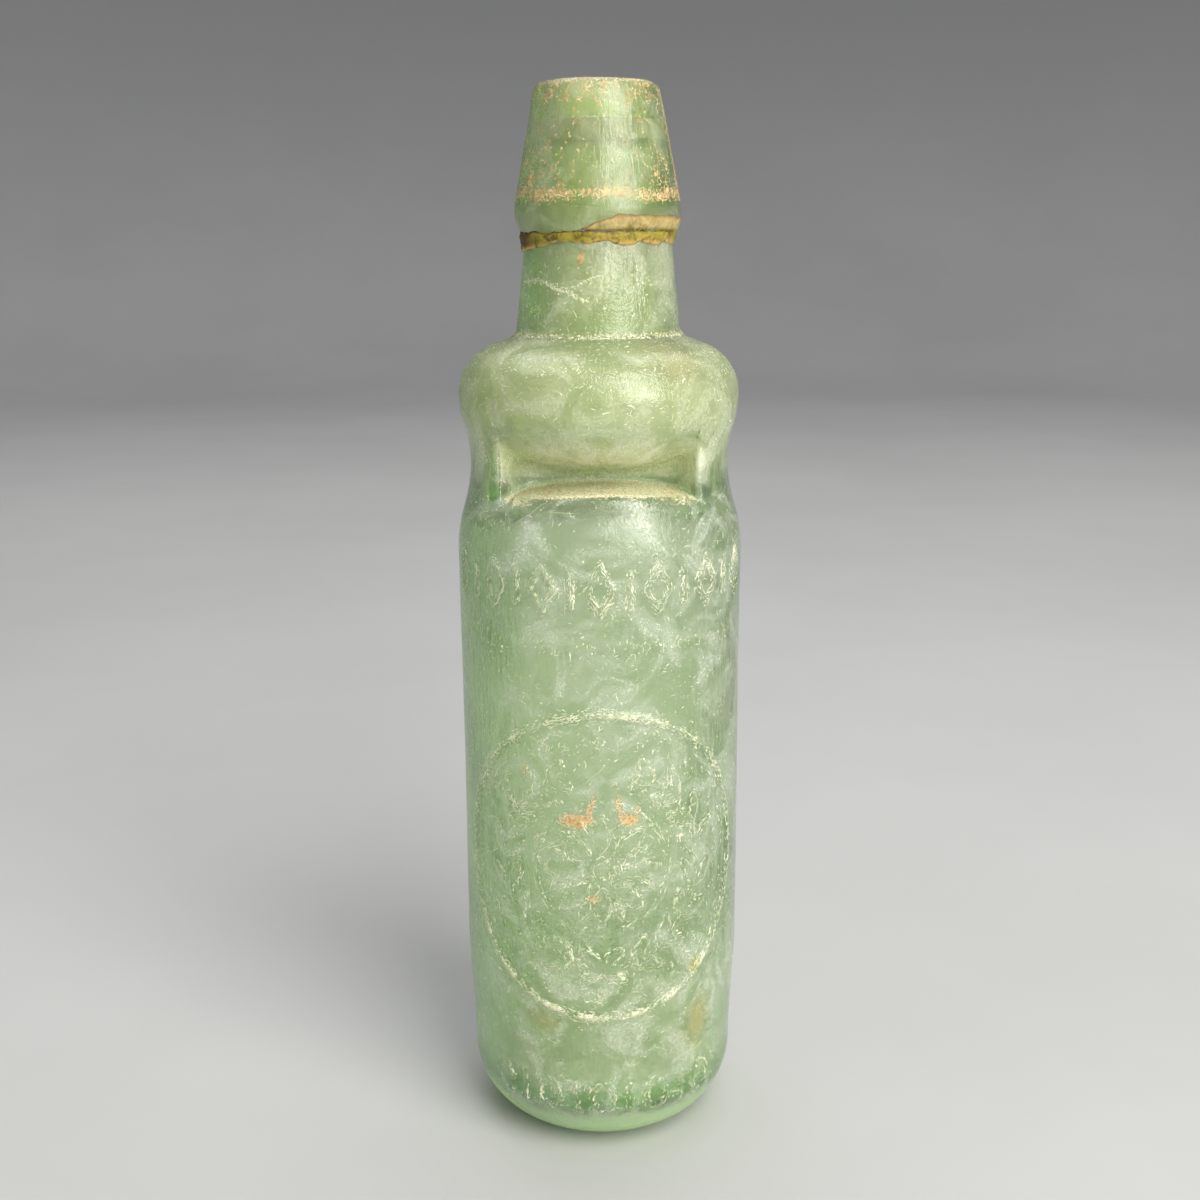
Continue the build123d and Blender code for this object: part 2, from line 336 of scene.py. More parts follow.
def raised(turn, z):
    """Height of the raised marks in mm, and how near a point is to one of their edges."""
    a = BODY * turn
    height, edge = np.zeros_like(a), np.zeros_like(a)

    def mark(d, top):
        maximum(height, top * smooth(0.32, -0.32, d), out=height)
        maximum(edge, hump(d, 0.45) * min(1.0, top * 2.2), out=edge)

    rho = np.hypot(a, z - RING_Z)
    phi = np.arctan2(z - RING_Z, a)
    mark(abs(rho - (RING_OUT - RING_LINE / 2)) - RING_LINE / 2, 0.5)
    mark(abs(rho - 31.4) - 0.3, 0.28)

    def in_sector(count, offset=0.0):
        """The angle from the middle of the nearest of count equal sectors."""
        wide = 2 * pi / count
        return (phi - offset + wide / 2) % wide - wide / 2

    t = in_sector(44)
    mark(np.hypot(rho - 28.4, 28.4 * t) - 0.62, 0.34)
    from_foot = abs(np.arctan2(a, RING_Z - z))
    wide = pi / 9.5
    t = where(from_foot < 8.5 * wide, (from_foot + 0.2 * wide) % wide - wide / 2, 9)
    for lean, middle in ((0.55, 24.3), (-0.55, 20.0)):
        u, v = rho * np.cos(t) - middle, rho * np.sin(t)
        far = where(t > 8, 9, 0)
        u, v = u * sin(lean) + v * cos(lean), u * cos(lean) - v * sin(lean)
        mark(leaf(u, v, 3.7, 1.25) + far, 0.45)
    mark(where(t > 8, 9, abs(rho - 22.1) - 0.3), 0.4)
    mark(abs(rho - 14.6) - 0.35, 0.36)
    for count, offset, middle, length, width in ((8, 0.0, 8.0, 4.6, 1.9), (8, pi / 8, 9.6, 2.6, 0.9)):
        t = in_sector(count, offset)
        mark(leaf(rho * np.cos(t) - middle, rho * np.sin(t), length, width), 0.45)
    mark(abs(rho - 2.3) - 0.5, 0.4)

    def in_row(pitch, half_count, offset=0.0):
        """The distance along the row from the nearest of its places, and that place's number."""
        place = clip(np.round((a - offset) / pitch), -half_count, half_count)
        return a - offset - place * pitch, place

    u, place = in_row(6.1, 6)
    v = z - 130.0
    even = place % 2 == 0
    lozenge = (abs(u) / 2.7 + abs(v) / 4.5 - 1) * 2.3
    bar = maximum(abs(u) - 0.55, abs(v) - 3.9)
    mark(where(even, abs(lozenge) - 0.45, bar), 0.45)
    u, _ = in_row(4.05, 8)
    mark(maximum(abs(u) - 1.1, abs(z - 117.6) - 0.4), 0.32)
    mark(maximum(abs(u - 2.02) - 0.45, abs(z - 117.6) - 1.5), 0.32)
    u, place = in_row(6.3, 4)
    v = (z - 15.4) * 0.74
    even = place % 2 == 0
    ring = abs(np.hypot(u, v) - 2.5) - 0.45
    bar = maximum(abs(u) - 0.5, abs(v) - 2.7)
    mark(where(even, ring, bar), 0.45)

    return height, edge


# The glass body


def shoulder_turn():
    """The angle at which the shoulder's arc leaves for the neck."""
    out, up = NECK_FOOT - (CHAMBER - SHOULDER_ROUND), NECK_FOOT_Z - CHAMBER_Z
    return atan2(up, out) - acos(SHOULDER_ROUND / hypot(out, up))


def make_body(material):
    fine = np.radians(linspace(-FRONT, FRONT, 2 * FRONT + 1))
    coarse = np.radians(90 + 2.5 * np.arange(1, 72))
    turns = concatenate([fine, coarse])
    cols = len(turns)
    bulge = (CHAMBER - SHOULDER_ROUND, CHAMBER_Z)
    leave = shoulder_turn()

    # outside, from the push-up to the spigot
    r = linspace(0, PUSH_UP, 6)[1:]
    sag = (PUSH_UP**2 + PUSH_UP_DEPTH**2) / (2 * PUSH_UP_DEPTH)
    push_up = stack([r, PUSH_UP_DEPTH - sag + np.sqrt(sag**2 - r**2)], 1)
    foot = divided([(PUSH_UP, 0), (FOOT - HEEL, 0)], 2.0)[1:]
    heel = arc((FOOT - HEEL, HEEL), HEEL, -pi / 2, 0, 30)[1:]
    z = linspace(HEEL, PINCH_Z, 164)[1:-1]
    body = stack([side(z), z], 1)
    pinch = pinch_rings(turns, PINCH_Z, 0.0, (9, 20, 6, 26, 10))
    shoulder = arc(bulge, SHOULDER_ROUND, 0, leave, 14)
    neck = [shoulder[-1], (NECK_FOOT, NECK_FOOT_Z), (NECK_TOP, SEAM_Z)]
    neck = rounded(neck, [NECK_FILLET], 0.95, 0.6)
    spigot = divided([(NECK_TOP, SEAM_Z), (SPIGOT, SEAM_Z), (SPIGOT, SPIGOT_Z)], 1.5)
    low = turned(concatenate([push_up, foot, heel, body]), turns)
    high = turned(concatenate([shoulder[1:], neck[1:], spigot[1:]]), turns)
    outer = concatenate([low, pinch, high])

    normals = grid_normals(outer)
    z = outer[..., 2]
    turn = np.broadcast_to(turns, z.shape)
    wrapped = (turn + pi) % (2 * pi) - pi
    height, edge = raised(wrapped, z)
    on_side = smooth(75, 68, abs(degrees(wrapped))) * smooth(5, 9, z) * (z < PINCH_Z)
    height, edge = height * on_side, edge * on_side
    on_neck = smooth(NECK_FOOT_Z + 2, NECK_FOOT_Z + 6, z) * smooth(SEAM_Z - 4, SEAM_Z - 8, z)
    seams = sum(hump(degrees(wrapped) - at + 0.15 * (z - 190), 1.1) for at in (31, 35, -149))
    height = height + 0.14 * seams * on_neck
    loose = smooth(4, 14, z) * smooth(SEAM_Z - 0.5, SEAM_Z - 6, z)
    wave = 0.11 * (1 + waves(3, turn, z, 50)) + 0.022 * (1 + waves(4, turn, z, 14))
    shift = height - clip(wave, 0.02, None) * loose
    upright = smooth(3, 7, z)
    flow = normals * stack([np.ones_like(z), np.ones_like(z), upright], -1)
    outer = outer + flow * shift[..., None]

    # dust lies on what faces up, in the dents and at the foot of the neck
    facing = normals[..., 2]
    in_pinch = smooth(143.5, 146, z) * smooth(153, 150, z)
    dust = 0.60 * smooth(0.62, 0.92, facing + 0.05 * waves(6, turn, z * 0, 7, 14)) * in_pinch
    dust = maximum(dust, 0.50 * hump(z - 179.4, 0.7))
    dust = maximum(dust, 0.12 * smooth(0.1, 0.9, waves(5, turn, z, 30)))
    rust = np.zeros_like(z)
    for at, up, wide, tall, lean, deep in (
        (-5.2, 80.8, 4.2, 2.0, 0.25, 1.0),
        (-2.0, 84.0, 0.9, 4.6, 0.16, 0.75),
        (5.9, 81.0, 2.5, 1.8, 0.0, 1.0),
        (3.8, 84.0, 0.8, 4.2, -0.22, 0.8),
        (8.0, 83.2, 0.7, 2.8, 0.3, 0.65),
        (-1.6, 63.4, 1.9, 1.2, 0.4, 0.8),
        (-16.9, 91.0, 0.6, 3.2, 0.1, 0.7),
        (-14.2, 76.5, 0.5, 2.6, -0.1, 0.6),
    ):
        across = BODY * wrapped - at - lean * (z - up) + 0.25 * waves(8, turn * 0, z, 5)
        near = np.hypot(across / wide, (z - up) / tall)
        fading = smooth(up + 1.6 * tall, up - 0.4 * tall, z) ** 0.5
        rust = maximum(rust, deep * smooth(1.7, 0.2, near) * fading)
    amber = np.zeros_like(z)
    for at, up, wide, tall, deep in (
        (23.7, 30.0, 4.4, 7.5, 1.0),
        (-13.6, 33.0, 5.0, 3.6, 0.8),
        (22.0, 44.0, 2.0, 3.0, 1.0),
        (19.5, 175.5, 8.0, 5.0, 0.6),
    ):
        near = np.hypot((BODY * wrapped - at) / wide, (z - up) / tall)
        amber = maximum(amber, deep * smooth(1.4, 0.2, near))
    low_front = smooth(17, 23, z) * smooth(54, 40, z) * smooth(1.0, 0.5, abs(wrapped))
    amber = maximum(amber, 0.18 * low_front)

    # inside, from the top of the spigot down to the floor
    few = turns[::2]
    leave_at = arc(bulge, SHOULDER_ROUND - WALL, leave, leave, 1)[0]
    along = (leave_at[0] - BORE) / sin(leave)
    bore_foot = (BORE, leave_at[1] + along * cos(leave))
    bore = rounded([(BORE, SPIGOT_Z), bore_foot, leave_at], [BORE_ROUND], 2.8, 0.9)
    roof = arc(bulge, SHOULDER_ROUND - WALL, leave, 0, 8)
    pinch_in = pinch_rings(few, PINCH_IN_Z, WALL, (6, 9, 7, 14, 4))[::-1]
    z_in = linspace(PINCH_IN_Z, BASE + HEEL_IN, 46)[1:]
    sides = stack([side(z_in, WALL), z_in], 1)
    corner = arc((FOOT - WALL - HEEL_IN, BASE + HEEL_IN), HEEL_IN, 0, -pi / 2, 7)[1:]
    floor = divided([(FOOT - WALL - HEEL_IN, BASE), (2.5, BASE)], 3.3)[1:]
    top_in = turned(concatenate([bore, roof[1:-1]]), few)
    low_in = turned(concatenate([sides, corner, floor]), few)
    inner = concatenate([top_in, pinch_in, low_in])
    normals_in = grid_normals(inner)
    z_in = inner[..., 2]
    turn_in = np.broadcast_to(few, z_in.shape)
    swell = 0.34 * (1 + waves(11, turn_in, z_in, 34)) + 0.12 * (1 + waves(12, turn_in, z_in, 17))
    swell *= smooth(BASE - 0.5, 20, z_in) * (0.25 + 0.75 * smooth(188, 172, z_in))
    sag_in = 0.7 * waves(13, turn_in, z_in * 0, 60) * smooth(24, 12, np.hypot(inner[..., 0], inner[..., 1]))
    inner = inner - normals_in * clip(swell, 0, 1.2)[..., None]
    inner[..., 2] += where(z_in < BASE + 1, clip(sag_in, -0.8, 0.8), 0)

    # a pale film lies in the bottom and, outside, at the heel, under the ledge and on the bowl; in the
    # bottom and at the heel it is partly a painted glow, and on the bowl and under it partly painted light
    # that brightens the shaded underside
    film_and_painted_light_in = 0.10 + 0.46 * smooth(54, 18, z_in) + 0.20 * smooth(150, 160, z_in)
    film_and_painted_light_in = film_and_painted_light_in * (1 + 0.2 * waves(14, turn_in, z_in, 18))
    facing_us = np.cos(turn) ** 2
    film_and_painted_light = 0.12 * smooth(124, 146, z) * smooth(150, 147, z) * smooth(0.25, 0.7, facing_us)
    # painted light: the film brightens the bowl's shaded underside, just above the ledge
    film_and_painted_light = film_and_painted_light + 0.32 * smooth(148.6, 150.6, z) * smooth(162, 154, z) * smooth(0.28, 0.5, facing_us)
    # painted glow: the film at the heel stands in for light coming through the base
    film_and_painted_light = film_and_painted_light + 0.34 * smooth(15, 6, z) * smooth(0, 1, z)
    film_and_painted_light = film_and_painted_light + 0.14 * smooth(150, 156, z) + 0.08 * smooth(15, 22, z) * smooth(56, 40, z)
    pits = 0.15 + 0.85 * hump(np.hypot(BODY * wrapped - 1, z - 63), 13) * (abs(wrapped) < 1.2)
    pits = maximum(pits, 0.6 * smooth(0.0, 1.0, waves(15, turn, z, 24)) * loose)
    pits = maximum(pits, 0.5 * smooth(155, 162, z))

    # the glass is clearest at the heel and down the left side, and a little from the chamber up; the same
    # mask paints a saturated green film and frost down the left side, as painted shade, and at the heel, as
    # a painted glow
    deg, deg_in = degrees(wrapped), (degrees(turn_in) + 180) % 360 - 180
    side_and_heel_painted_green = smooth(-38, -62, deg) * smooth(-150, -110, deg) * (z < PINCH_Z)
    side_and_heel_painted_green = side_and_heel_painted_green + 0.8 * smooth(13, 8, z)
    side_and_heel_painted_green_in = smooth(-34, -58, deg_in) * smooth(-150, -110, deg_in) * (z_in < PINCH_Z)
    side_and_heel_painted_green_in = side_and_heel_painted_green_in + 0.8 * smooth(16, 10, z_in)
    plain = maximum(maximum(smooth(13, 8, z), 0.75 * side_and_heel_painted_green), 0.25 * smooth(154, 164, z))
    # painted shade down the left side and a painted glow at the heel: more green film there
    film_and_painted_light = film_and_painted_light + 0.24 * side_and_heel_painted_green

    # one closed surface: two poles, the outer grid, a row of triangles, the inner grid
    rows, rows_in, cols_in = len(outer), len(inner), len(few)
    first_in = 1 + rows * cols
    poles = [[0, 0, PUSH_UP_DEPTH]], [[0, 0, inner[-1, :, 2].mean()]]
    points = concatenate([poles[0], outer.reshape(-1, 3), inner.reshape(-1, 3), poles[1]])
    faces = [(0, 1 + (j + 1) % cols, 1 + j) for j in range(cols)]
    faces += ring_faces(outer, 1)
    last = 1 + (rows - 1) * cols
    for k in range(cols_in):
        a, b, c = last + 2 * k, last + 2 * k + 1, last + (2 * k + 2) % cols
        v, w = first_in + k, first_in + (k + 1) % cols_in
        faces += [(a, b, v), (b, w, v), (b, c, w)]
    faces += ring_faces(inner, first_in)
    last_in = first_in + (rows_in - 1) * cols_in
    pole = len(points) - 1
    faces += [(last_in + j, last_in + (j + 1) % cols_in, pole) for j in range(cols_in)]

    def spread(numbers, inside=0.0, pole=0.0):
        """The outside's numbers, then the inside's and its pole's."""
        return concatenate([[0], numbers.ravel(), np.broadcast_to(inside, z_in.shape).ravel(), [pole]])

    values = {
        "edge": spread(edge),
        "dust": spread(dust),
        "rust": spread(rust),
        "amber": spread(amber),
        "film_and_painted_light": spread(film_and_painted_light, film_and_painted_light_in, 0.3),
        "pits": spread(pits),
        "plain": spread(plain, 0.75, 0.75),
        "side_and_heel_painted_green": spread(side_and_heel_painted_green, side_and_heel_painted_green_in),
    }
    piece = add_piece("glass_body", points, faces, "bottle", material, values)
    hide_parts("bottle_body")
    return outer, wrapped, height


# Flakes and scratches: thin ribbons that lie on the glass


def on_grid(grid, u, v):
    """Values between the points of a grid of closed rings."""
    rows, cols = grid.shape[:2]
    u = clip(u, 0, rows - 1.001)
    i, j = np.floor(u).astype(int), np.floor(v).astype(int)
    f, g = (u - i)[:, None], (v - j)[:, None]
    j, k = j % cols, (j + 1) % cols
    low = grid[i, j] * (1 - g) + grid[i, k] * g
    high = grid[i + 1, j] * (1 - g) + grid[i + 1, k] * g
    return low * (1 - f) + high * f


class Skin:
    """The body's outer grid, with what a ribbon needs to find its way over it."""

    def __init__(self, grid, height):
        self.grid = grid
        self.across = steps_across(grid) / 2
        self.along = np.gradient(grid, axis=0)
        wide = np.linalg.norm(self.across, axis=-1)
        tall = np.linalg.norm(self.along, axis=-1)
        self.area = wide * tall
        rise_across = steps_across(height) / 2 / wide
        rise_along = np.gradient(height, axis=0) / tall
        self.rise = stack([rise_across, rise_along], -1)

    def starts(self, density, count, rng):
        """Random places, as many per area as density asks."""
        weight = (self.area * density).ravel()
        cell = rng.choice(weight.size, count, p=weight / weight.sum())
        u, v = np.divmod(cell, self.grid.shape[1])
        u = u + rng.uniform(-0.5, 0.5, count)
        return u, v + rng.uniform(-0.5, 0.5, count)

    def ribbons(self, u, v, heading, curl, length, width, steps, follows=False):
        """Points and faces of ribbons that start at u, v and curl, or follow the raised marks' edges."""
        rows = []
        step = length / steps
        for k in range(steps + 1):
            if follows:
                rise = on_grid(self.rise, u, v)
                to = np.arctan2(rise[:, 0], -rise[:, 1])
                to = to + where(np.cos(to - heading) < 0, pi, 0)
                heading = where(np.hypot(rise[:, 0], rise[:, 1]) > 0.12, to, heading)
            a, b = on_grid(self.across, u, v), on_grid(self.along, u, v)
            wide = lengths(a)
            tall = lengths(b)
            a, b = a / wide, b / tall
            c, s = np.cos(heading)[:, None], np.sin(heading)[:, None]
            out = np.cross(a, b)
            sideways = np.cross(out, a * c + b * s)
            half = (width * np.sin(pi * (k + 0.5) / (steps + 1)) ** 0.6)[:, None]
            middle = on_grid(self.grid, u, v) + out * 0.025
            rows.append(stack([middle - sideways * half, middle + sideways * half], 1))
            u = u + step * np.sin(heading) / tall[:, 0]
            v = v + step * np.cos(heading) / wide[:, 0]
            heading = heading + curl * step
        points = stack(rows, 1).reshape(-1, 3)
        first = 2 * (np.arange(len(u))[:, None] * (steps + 1) + np.arange(steps)[None, :]).ravel()
        return points, stack([first, first + 1, first + 3, first + 2], 1)

    def strokes(self, density, count, rng, steps, *draws):
        """Ribbons at random places, with a draw for each of length, width, heading and curl."""
        u, v = self.starts(density, count, rng)
        long, wide, heading, curl = (draw(a, b, count) + least for draw, a, b, least in draws)
        return self.ribbons(u, v, heading, curl, long, wide, steps)

    def grains(self, density, count, rng, small, large):
        """Points and faces of small ragged plates."""
        u, v = self.starts(density, count, rng)
        middle, a, b = (on_grid(g, u, v) for g in (self.grid, self.across, self.along))
        a /= lengths(a)
        b /= lengths(b)
        angle = rng.uniform(0, 2 * pi, (count, 1)) + np.arange(5) * 2 * pi / 5
        reach = (small + (large - small) * rng.random(count) ** 2)[:, None]
        reach = reach * rng.uniform(0.45, 1.2, angle.shape)
        middle = middle + np.cross(a, b) * 0.03
        a = a[:, None] * (reach * np.cos(angle))[..., None]
        b = b[:, None] * (reach * np.sin(angle))[..., None]
        points = middle[:, None] + a + b
        points[..., 2] = minimum(points[..., 2], TOP_Z)
        return points.reshape(-1, 3), np.arange(5 * count).reshape(-1, 5)


def add_sets(name, sets, material):
    """One piece of several sets of points and faces."""
    points, faces, first = [], [], 0
    for some_points, some_faces in sets:
        points.append(some_points)
        faces += (some_faces + first).tolist()
        first += len(some_points)
    add_piece(name, concatenate(points), faces, "bottle", material)


def make_grains(skin, turn, lip_skin, pale, tan_grain):
    """Grains of dust on the ledges, at the neck's foot and on the lip, and sparse pale grains down the
    shoulder's sides that are partly a painted highlight.
    """
    rng = np.random.default_rng(73)
    z = skin.grid[..., 2]
    facing = grid_normals(skin.grid)[..., 2]
    ledge = smooth(0.55, 0.95, facing) * smooth(144.5, 147, z) * smooth(151.5, 150, z)
    foot = hump(z - 179.5 - 0.2 * waves(64, turn, z * 0, 9), 0.42) * (z > 176)
    # partly a painted highlight: pale grains along the shoulder's sides, as well as dust
    shoulder = 0.06 * smooth(170, 174, z) * smooth(179, 177, z) * smooth(0.3, 0.9, abs(np.sin(turn)))
    groups = []
    for count in LEDGE_CURLS:
        # the count is the seed of the waves as well
        clumps = 0.15 + smooth(-0.4, 0.9, waves(count, turn, z, 5, 14))
        sizes = (rng.gamma, 1.6, 0.32, 0.2), (rng.gamma, 2.0, 0.022, 0.025)
        ways = (rng.normal, 0, 0.5, 0), (rng.normal, 0, 0.8, 0)
        curves = skin.strokes(ledge * clumps, count, rng, 3, *sizes, *ways)
        groups.append([curves, skin.grains(ledge, LEDGE_GRAINS, rng, 0.05, 0.20)])
    add_sets("ledge_grains", groups[0], tan_grain)
    sets = groups[1] + [skin.grains(foot + shoulder, FOOT_GRAINS, rng, 0.06, 0.20)]
    loose = 0.25 + smooth(-0.2, 1.2, waves(65, turn, z, 18))
    loose = loose * smooth(10, 16, z) * smooth(SEAM_Z - 3, SEAM_Z - 6, z)
    sets.append(skin.grains(loose, LOOSE_GRAINS, rng, 0.04, 0.15))
    add_sets("dust_grains", sets, pale)

    z = lip_skin.grid[..., 2]
    r = np.hypot(lip_skin.grid[..., 0], lip_skin.grid[..., 1])
    round_lip = np.arctan2(lip_skin.grid[..., 0], -lip_skin.grid[..., 1])
    deg = degrees(round_lip)
    outside = (r > 12.9) & (z > SEAM_Z + 3)
    band = 1.5 * hump(z - 207.4 - 0.6 * waves(66, round_lip, z * 0, 30), 0.8)
    upper = smooth(205.5, 207, z)
    left = 1.7 * hump(deg + 52, 22) * smooth(223, 206, z) * upper
    right = 1.5 * hump(deg - 52, 16) * smooth(220, 206, z) * upper
    back = 0.8 * hump(abs(deg) - 150, 30) * smooth(222, 206, z) * upper
    line = 0.9 * hump(deg - 82, 6) * upper
    rim = 0.8 * smooth(223, 228, z)
    large = 0.4 + smooth(-0.5, 0.8, waves(68, round_lip, z, 14))
    clumps = 0.12 + smooth(-0.1, 0.9, waves(67, round_lip, z, 5, 16)) * large
    spots = (band * 0.4 + left + right + back + rim) * clumps
    density = (band * 0.6 + spots + line + 0.12 * upper * clumps) * outside
    top = (r > 8.8) & (r <= 12.9) & (z > TOP_Z - 2)
    grains = lip_skin.grains(density + 0.25 * top, LIP_GRAINS, rng, 0.06, 0.26)
    add_sets("lip_grains", [grains], tan_grain)


def make_flakes(skin, turn, material):
    """Pale flakes and short curly scratches: some anywhere, more along the raised marks."""
    rng = np.random.default_rng(71)
    z = skin.grid[..., 2]
    open_glass = smooth(8, 14, z) * smooth(SEAM_Z - 3, SEAM_Z - 6, z)
    patches = smooth(-0.2, 1.0, waves(61, turn, z, 26)) * smooth(-0.5, 0.8, waves(62, turn, z, 11))
    worn = 0.14 + patches + 0.16 * smooth(154, 160, z)
    worn = worn + 0.25 * smooth(WAIST_Z, CHAMBER_Z, z) * smooth(0.5, 1.0, abs(np.sin(turn)))
    worn = worn * open_glass * where(z > NECK_FOOT_Z, 0.7, 1.0)
    sets = []
    sizes = (rng.gamma, 1.5, 0.30, 0.12), (rng.gamma, 2.0, 0.018, 0.02)
    ways = (rng.uniform, 0, 2 * pi, 0), (rng.normal, 0, 0.9, 0)
    sets.append(skin.strokes(worn, CURLS_ANYWHERE, rng, 3, *sizes, *ways))
    count = CURLS_ON_MARKS
    steep = np.hypot(skin.rise[..., 0], skin.rise[..., 1])
    on_ring = abs(np.hypot(BODY * turn, z - RING_Z) - RING_OUT + RING_LINE / 2) < 2
    share = where(on_ring, 0.5, 1) + 0.4 * smooth(108, 116, z)
    u, v = skin.starts(steep**2 * (0.35 + patches) * open_glass * share, count, rng)
    long = rng.gamma(1.6, 0.26, count) + 0.12
    wide = rng.gamma(2.0, 0.02, count) + 0.02
    heading = rng.uniform(0, 2 * pi, count)
    sets.append(skin.ribbons(u, v, heading, long * 0, long, wide, 3, follows=True))
    sizes = (rng.uniform, 3, 10, 0), (rng.uniform, 0.02, 0.04, 0)
    ways = (rng.uniform, -0.7, 0.7, 0), (rng.normal, 0, 0.05, 0)
    on_side = open_glass * (z > 20) * (z < 150)
    sets.append(skin.strokes(on_side, LONG_SCRATCHES, rng, 10, *sizes, *ways))

    # the pale line of the ring, heaviest low on the left
    count = CURLS_ON_RING
    angles = np.radians(np.arange(0, 360, 0.5))
    heavy = 0.35 + 2.6 * hump(degrees(angles) - 238, 26)
    heavy += 1.5 * hump(degrees(angles) - 300, 26) + 0.8 * hump(degrees(angles) - 98, 24)
    heavy *= 0.25 + smooth(-0.4, 0.8, waves(63, angles, angles * 0, 7, 24))
    at = rng.choice(angles, count, p=heavy / heavy.sum()) + rng.uniform(-0.005, 0.005, count)
    radius = RING_OUT - RING_LINE / 2 + rng.normal(0, 0.42, count)
    column = z[:, FRONT]
    low = np.argmax(column > HEEL - 8)
    u = np.interp(RING_Z + radius * np.sin(at), column[low:], np.arange(low, len(column)))
    v = degrees(radius * np.cos(at) / BODY) + FRONT
    long = rng.gamma(1.6, 0.20, count) + 0.12
    wide = rng.gamma(2.0, 0.026, count) + 0.02
    sets.append(skin.ribbons(u, v, at + pi / 2 + rng.normal(0, 0.3, count), 1 / radius, long, wide, 4))
    add_sets("flakes", sets, material)


# Degrees from the front and heights
NECK_LINE = (
    (-73, 190.0), (-55, 190.6), (-42, 190.4), (-33, 189.3), (-24, 188.4), (-16, 187.6), (-9, 186.6)
)


def make_neck_marks(skin, flake, stain):
    """The pale line across the neck, and the small stain over it."""
    rng = np.random.default_rng(72)
    column = skin.grid[:, FRONT, 2]
    rows = np.arange(len(column))
    on_neck = column > NECK_FOOT_Z

    def place(deg, z):
        return np.interp(z, column[on_neck], rows[on_neck]), deg + FRONT

    in_mm = [NECK_DEGREE, 1.0]
    starts = []
    for route, per_mm, spread in (
        (NECK_LINE, 15, 0.24),
        (((-28, 189.2), (-18, 189.4), (-8, 190.8), (2, 191.8)), 4, 0.06),
        (((-62, 187), (-50, 184), (-44, 183)), 9, 0.9),
    ):
        route = divided(array(route) * in_mm, 1.0 / per_mm)
        starts.append((route + rng.normal(0, spread, route.shape)) / in_mm)
    starts = concatenate(starts)
    u, v = place(starts[:, 0], starts[:, 1])
    count = len(u)
    heading = rng.normal(-0.3, 0.6, count)
    long, wide = rng.gamma(2.0, 0.16, count) + 0.12, rng.gamma(2.0, 0.02, count) + 0.02
    curl = rng.normal(0, 0.8, count)
    points, faces = skin.ribbons(u, v, heading, curl, long, wide, 4)
    add_piece("neck_crack", points, faces.tolist(), "bottle", flake)

    sides = 24
    t = np.tile(full_turn(sides), 2)
    ragged = 1 + rng.uniform(-0.16, 0.16, len(t))
    ragged[sides:] *= 0.12
    x, y = 0.78 * np.cos(t) * ragged, 1.3 * np.sin(t) * ragged
    lean = radians(-28)
    x, y = x * cos(lean) - y * sin(lean), x * sin(lean) + y * cos(lean)
    u, v = place(-12.5 + x / NECK_DEGREE, 194.9 + y)
    middle = on_grid(skin.grid, u, v)
    out = middle * [1, 1, 0]
    middle = middle + out / lengths(out) * 0.04
    loop = [(k, (k + 1) % sides, sides + (k + 1) % sides, sides + k) for k in range(sides)]
    add_piece("neck_stain", middle, loop, "bottle", stain)


# The lip, the crust at its joint, the rubber ring and the marble


def make_lip(material):
    turns = full_turn(180)
    belly, foot = array([LIP_BELLY, SEAM_Z + BELLY_UP]), array([LIP_FOOT, SEAM_Z])
    rim = array([LIP_RIM, TOP_Z])
    down = (belly - rim) / np.linalg.norm(belly - rim)
    chord = foot - belly
    normal = array([down[1], -down[0]])
    radius = (chord @ chord) / (2 * (chord @ normal))
    centre = belly + normal * radius
    a0 = atan2(*(belly - centre)[::-1])
    a1 = atan2(*(foot - centre)[::-1])
    under = arc(centre, abs(radius), a1, a0, 9)
    groove_top, groove_low = (MOUTH, GROOVE_TOP), (BORE, GROOVE_LOW)
    cone = rounded([belly, rim, (MOUTH, TOP_Z), groove_top], [2.0, 0.8], 0.8, 0.3)
    hollow = divided([groove_top, (GROOVE, GROOVE_TOP), (GROOVE, GROOVE_LOW), groove_low], 0.9)[1:]
    socket = [groove_low, (BORE, SOCKET_TOP), (SOCKET, SOCKET_TOP), (SOCKET, SEAM_Z), foot]
    socket = divided(socket, 1.3)[1:-1]
    profile = concatenate([under, cone[1:], hollow, socket])
    rings = turned(profile, turns)
    z, r = rings[..., 2], np.hypot(rings[..., 0], rings[..., 1])
    outside = np.zeros_like(z)
    outside[: len(under) + len(cone) - 1] = 1
    outside *= smooth(7.6, 9.0, r)
    wave = 0.14 * (1 + waves(21, turns, z, 30)) + 0.05 * (1 + waves(22, turns, z, 9))
    shift = -clip(wave, 0.06, None) * outside * smooth(SEAM_Z + 0.3, SEAM_Z + 2, z)
    rings = rings + grid_normals(rings) * shift[..., None]
    faces = tube_faces(rings)
    band = hump(z - 206.9 - 0.8 * waves(23, turns, z * 0, 30), 1.5)
    above = smooth(206, 209, z) * smooth(224, 208, z) * (0.1 + abs(np.sin(turns)) ** 3)
    dust = 0.30 * band * smooth(-0.6, 0.6, waves(25, turns, z, 7))
    dust = dust + 0.46 * above * smooth(-0.5, 0.7, waves(24, turns, z, 12))
    dust = maximum(dust, 0.44 * smooth(226.0, 229.3, z)) * outside
    values = {"dust": dust, "film_and_painted_light": 0.45 * (1 - outside), "plain": 1 - 0.75 * outside}
    piece = add_piece("glass_lip", rings, faces, "bottle", material, values, radians(55))
    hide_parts("lip")
    return rings


